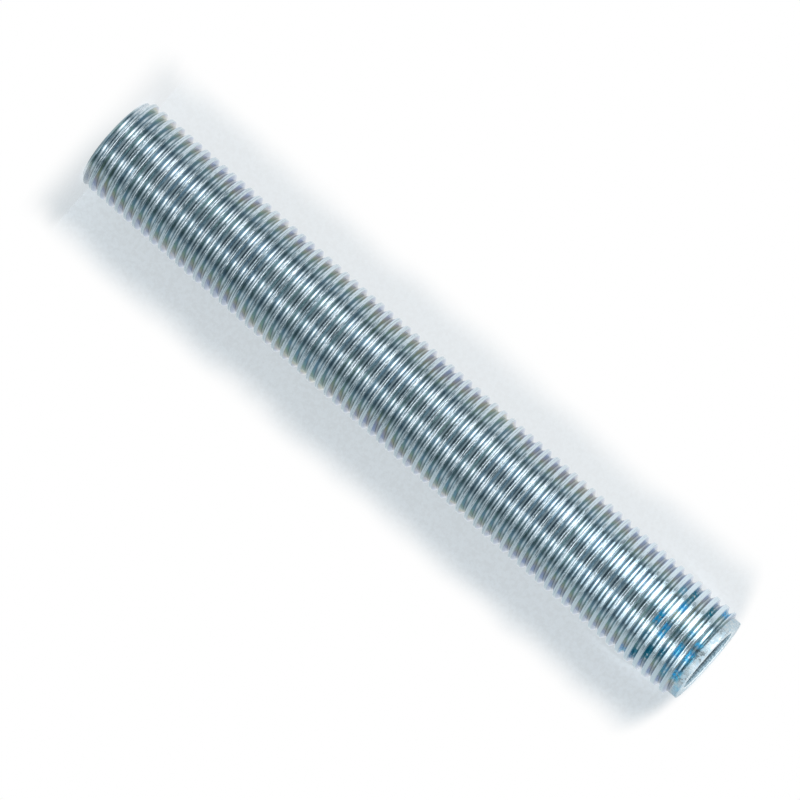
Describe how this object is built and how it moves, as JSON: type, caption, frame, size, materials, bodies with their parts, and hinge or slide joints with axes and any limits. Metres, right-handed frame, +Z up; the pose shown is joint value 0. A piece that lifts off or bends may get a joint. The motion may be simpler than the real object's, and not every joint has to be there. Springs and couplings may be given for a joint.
{
  "type": "lamp nipple",
  "caption": "Straight hollow steel tube threaded outside along its whole length, which clamps a lamp's parts together and carries the cord through its bore.",
  "frame": {"origin": "middle of the lower end face, on the surface that the nipple stands on", "axes": "+Z up the axis of the bore and thread, from the plain end to the dyed one; X and Y are any two directions across it, because the tube is round"},
  "size_m": [0.0104, 0.0104, 0.0762],
  "materials": {
    "zinc_plate": "bright zinc plate with a blue-grey passivation, fine drawn streaks along the thread and a trace of blue dye in the last valleys at the upper end"
  },
  "bodies": {
    "root": {"nipple": "zinc_plate"}
  },
  "joints": []
}
